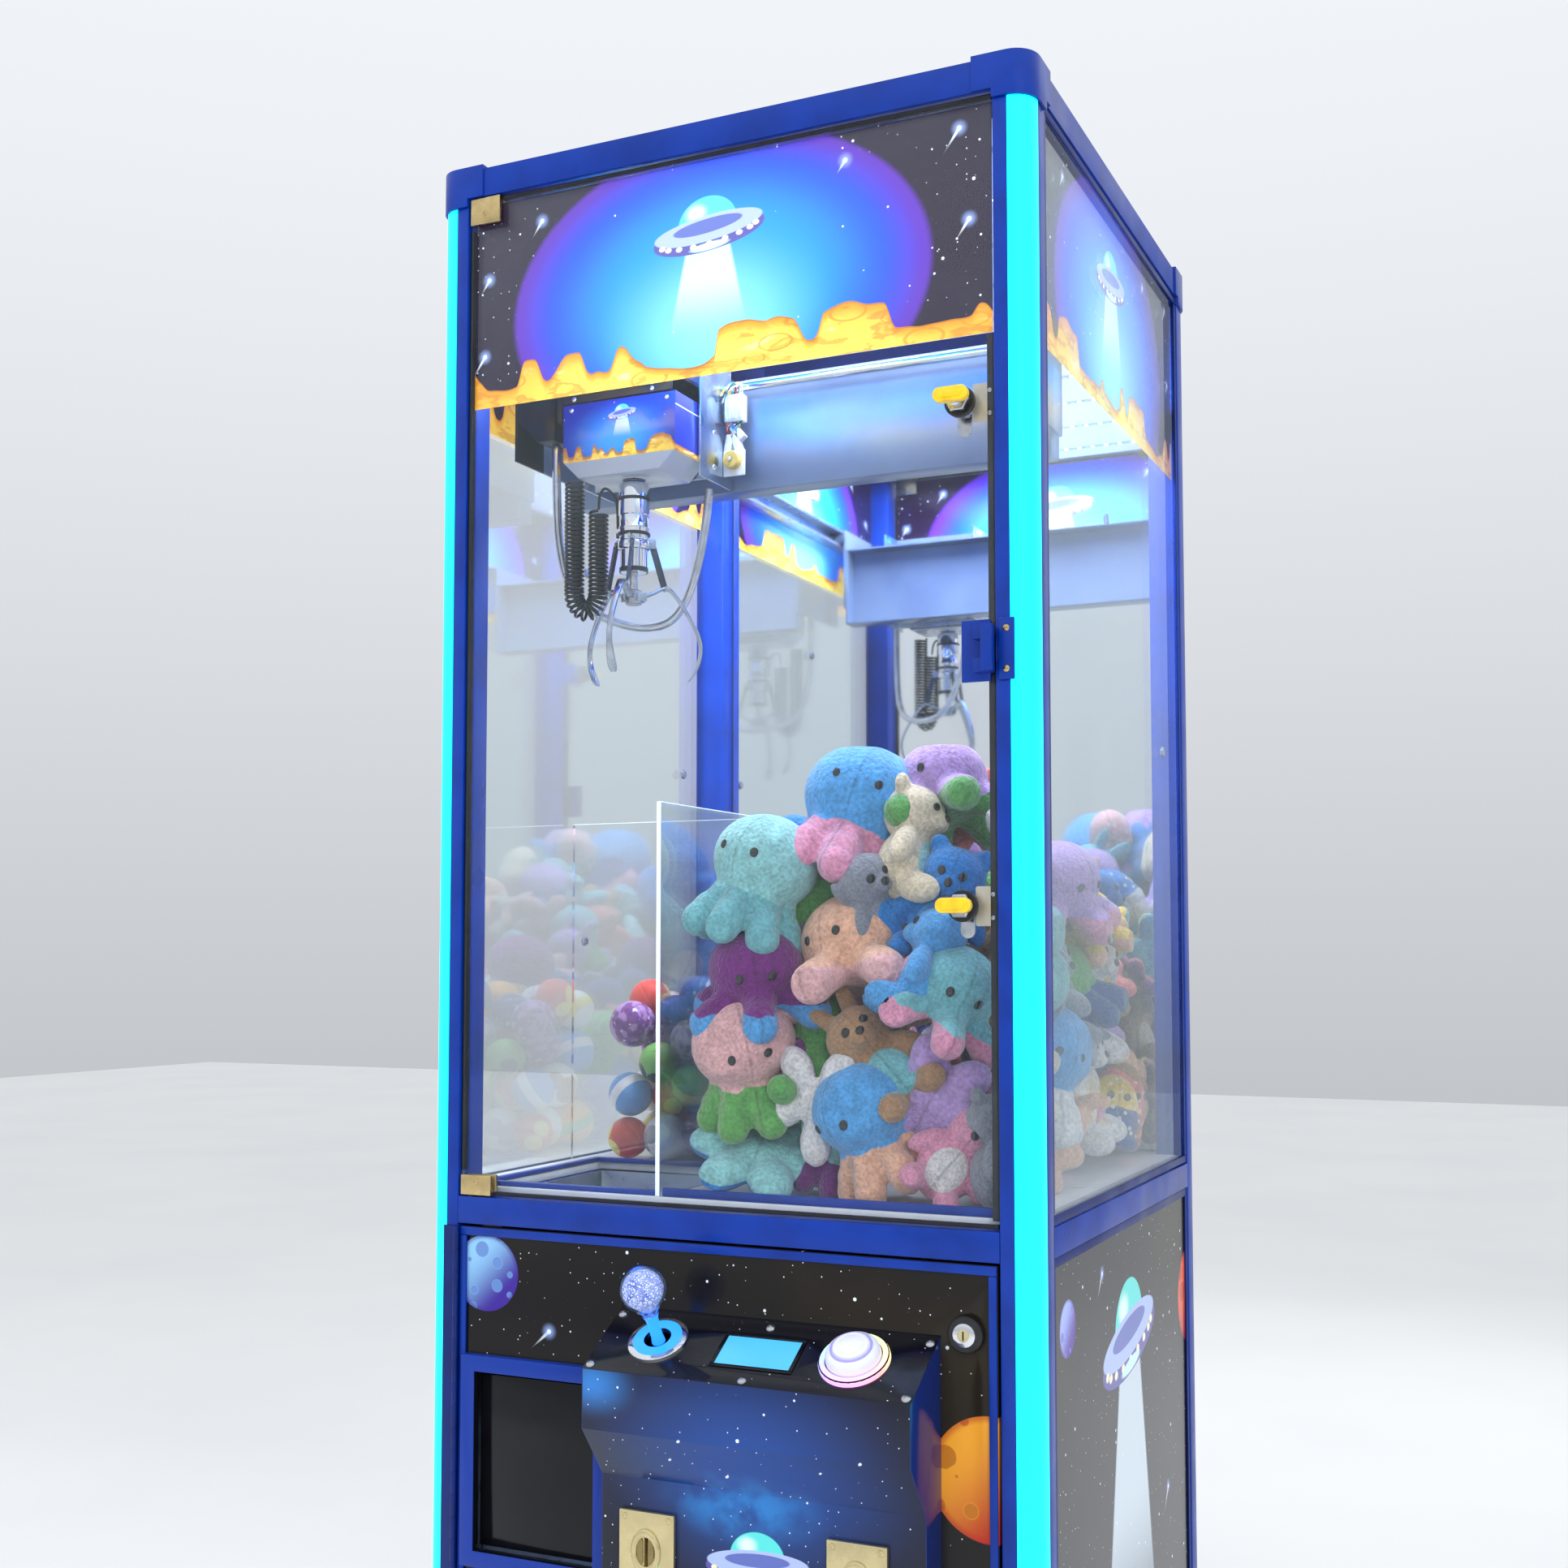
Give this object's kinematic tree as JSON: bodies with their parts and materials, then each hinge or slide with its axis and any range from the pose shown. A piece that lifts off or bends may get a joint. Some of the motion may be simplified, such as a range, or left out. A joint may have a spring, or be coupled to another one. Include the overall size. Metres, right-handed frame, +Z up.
{
  "type": "claw crane machine",
  "caption": "Coin-operated claw crane cabinet with a glass door over the prize chamber, a travelling three-fingered claw, a prize chute and a console with joystick, button and coin acceptors.",
  "frame": {"origin": "on the floor, below the middle of the overall box", "axes": "+Z up; the front with the glass door and console faces -Y; +X to the viewer's right"},
  "size_m": [0.746, 0.8326, 2.034],
  "materials": {
    "rubber_foot": "matte",
    "frame_blue": "satin blue powder coat",
    "light_cyan": "lit diffuser",
    "deck_white": "white laminate",
    "acrylic_clear": "polished acrylic",
    "duct_steel": "grey coat",
    "roof_blue": "satin blue",
    "ceiling_white": "lit white",
    "glass_clear": "polished",
    "side_art": "printed starfield",
    "mirror": "polished",
    "inlet_black": "moulded",
    "clamp_brass": "brushed",
    "lock_amber": "translucent",
    "door_art": "printed starfield",
    "chrome": "polished",
    "flap_black": "smoked",
    "console_blue": "printed starfield",
    "display": "lit",
    "gimbal_steel": "brushed",
    "stick_clear": "clear with bubbles",
    "dome_white": "lit white",
    "coin_gold": "satin",
    "bridge_grey": "grey-blue coat",
    "cover_art": "printed",
    "steel": "satin",
    "cord_black": "satin",
    "conduit_grey": "ribbed",
    "plush": "soft pile"
  },
  "bodies": {
    "cabinet": {"leveling_foot_front_left": "rubber_foot", "leveling_foot_front_right": "rubber_foot", "leveling_foot_rear_left": "rubber_foot", "leveling_foot_rear_right": "rubber_foot", "base_frame": "frame_blue", "mid_frame": "frame_blue", "top_frame": "frame_blue", "corner_post_front_left": "frame_blue", "corner_post_front_right": "frame_blue", "corner_post_rear_left": "frame_blue", "corner_post_rear_right": "frame_blue", "light_strip_front_left": "light_cyan", "light_strip_front_right": "light_cyan", "play_deck": "deck_white", "chute_guard": "acrylic_clear", "prize_chute": "duct_steel", "rear_panel": "duct_steel", "service_hinge": "duct_steel", "left_rail": "duct_steel", "right_rail": "duct_steel", "roof_panel": "roof_blue", "catch_bracket": "roof_blue", "ceiling_light": "ceiling_white", "left_glass": "glass_clear", "right_glass": "glass_clear", "left_side_panel": "side_art", "right_side_panel": "side_art", "rear_mirror": "mirror", "power_inlet": "inlet_black", "prize_heap": "plush"},
    "glass_door": {"door_glass": "glass_clear", "top_clamp": "clamp_brass", "bottom_clamp": "clamp_brass", "door_pull": "roof_blue"},
    "upper_cam": {"upper_lock": "lock_amber"},
    "lower_cam": {"lower_lock": "lock_amber"},
    "console_door": {"service_door": "door_art", "console_housing": "console_blue", "display_window": "display", "coin_mech_left": "coin_gold", "coin_mech_right": "coin_gold"},
    "service_cam": {"service_lock": "chrome"},
    "flap": {"prize_flap": "flap_black"},
    "gimbal": {"joystick_gimbal": "gimbal_steel"},
    "joystick": {"joystick_stick": "stick_clear"},
    "button": {"button_dome": "dome_white"},
    "bridge": {"bridge_beam": "bridge_grey", "guide_rod": "chrome", "trolley_cable": "conduit_grey"},
    "trolley": {"trolley_bracket": "chrome", "head_cover": "cover_art"},
    "claw": {"claw_solenoid": "chrome", "coil_cord": "cord_black"},
    "plunger": {"claw_plunger": "steel"},
    "finger_1": {"claw_finger_1": "chrome"},
    "link_1": {"claw_link_1": "steel"},
    "finger_2": {"claw_finger_2": "chrome"},
    "link_2": {"claw_link_2": "steel"},
    "finger_3": {"claw_finger_3": "chrome"},
    "link_3": {"claw_link_3": "steel"}
  },
  "joints": [
    {"name": "glass_door_hinge", "type": "hinge", "parent": "cabinet", "child": "glass_door", "pos_m": [-0.314, -0.30773, 0.82], "axis": [0, 0, -1], "range_deg": [0, 105]},
    {"name": "upper_lock_turn", "type": "hinge", "parent": "glass_door", "child": "upper_cam", "pos_m": [0.291, -0.30773, 1.668], "axis": [0, -1, 0], "range_deg": [0, 90]},
    {"name": "lower_lock_turn", "type": "hinge", "parent": "glass_door", "child": "lower_cam", "pos_m": [0.291, -0.30773, 1.142], "axis": [0, -1, 0], "range_deg": [0, 90]},
    {"name": "service_door_hinge", "type": "hinge", "parent": "cabinet", "child": "console_door", "pos_m": [-0.3272, -0.31873, 0.44], "axis": [0, 0, -1], "range_deg": [0, 100]},
    {"name": "service_lock_turn", "type": "hinge", "parent": "console_door", "child": "service_cam", "pos_m": [0.292, -0.30273, 0.709], "axis": [0, 1, 0], "range_deg": [0, 90]},
    {"name": "prize_flap_hinge", "type": "hinge", "parent": "console_door", "child": "flap", "pos_m": [-0.219, -0.30673, 0.611], "axis": [1, 0, 0], "range_deg": [0, 65]},
    {"name": "joystick_pitch", "type": "hinge", "parent": "console_door", "child": "gimbal", "pos_m": [-0.0395, -0.34489, 0.66139], "axis": [1, 0, 0], "range_deg": [-12, 12], "stiffness_Nm_per_rad": 3},
    {"name": "joystick_roll", "type": "hinge", "parent": "gimbal", "child": "joystick", "pos_m": [-0.0395, -0.34489, 0.66139], "axis": [0, 0.8649, 0.5019], "range_deg": [-12, 12], "stiffness_Nm_per_rad": 3},
    {"name": "button_press", "type": "slide", "parent": "console_door", "child": "button", "axis": [0, 0.5019, -0.8649], "range_m": [0, 0.004], "stiffness_N_per_m": 800, "springref_m": -0.0015},
    {"name": "bridge_travel", "type": "slide", "parent": "cabinet", "child": "bridge", "axis": [0, 1, 0], "range_m": [0, 0.4]},
    {"name": "trolley_travel", "type": "slide", "parent": "bridge", "child": "trolley", "axis": [1, 0, 0], "range_m": [0, 0.38]},
    {"name": "claw_lift", "type": "slide", "parent": "trolley", "child": "claw", "axis": [0, 0, 1], "range_m": [-0.58, 0]},
    {"name": "claw_grip", "type": "slide", "parent": "claw", "child": "plunger", "axis": [0, 0, 1], "range_m": [0, 0.0187]},
    {"name": "finger_1_swing", "type": "hinge", "parent": "plunger", "child": "finger_1", "pos_m": [-0.17474, -0.18954, 1.527], "axis": [0.9848, 0.1736, 0], "range_deg": [0, 31]},
    {"name": "link_1_swing", "type": "hinge", "parent": "claw", "child": "link_1", "pos_m": [-0.17283, -0.20037, 1.594], "axis": [-0.9848, -0.1736, 0], "range_deg": [0, 1.8]},
    {"name": "finger_2_swing", "type": "hinge", "parent": "plunger", "child": "finger_2", "pos_m": [-0.16704, -0.16838, 1.527], "axis": [-0.6428, 0.766, 0], "range_deg": [0, 31]},
    {"name": "link_2_swing", "type": "hinge", "parent": "claw", "child": "link_2", "pos_m": [-0.15862, -0.16131, 1.594], "axis": [0.6428, -0.766, 0], "range_deg": [0, 1.8]},
    {"name": "finger_3_swing", "type": "hinge", "parent": "plunger", "child": "finger_3", "pos_m": [-0.18922, -0.17229, 1.527], "axis": [-0.342, -0.9397, 0], "range_deg": [0, 31]},
    {"name": "link_3_swing", "type": "hinge", "parent": "claw", "child": "link_3", "pos_m": [-0.19955, -0.16853, 1.594], "axis": [0.342, 0.9397, 0], "range_deg": [0, 1.8]}
  ],
  "couplings": [
    {"joint": "finger_1_swing", "follows": "claw_grip", "rad_per_m": 28.9},
    {"joint": "link_1_swing", "follows": "claw_grip", "rad_per_m": 1.58},
    {"joint": "finger_2_swing", "follows": "claw_grip", "rad_per_m": 28.9},
    {"joint": "link_2_swing", "follows": "claw_grip", "rad_per_m": 1.58},
    {"joint": "finger_3_swing", "follows": "claw_grip", "rad_per_m": 28.9},
    {"joint": "link_3_swing", "follows": "claw_grip", "rad_per_m": 1.58}
  ]
}
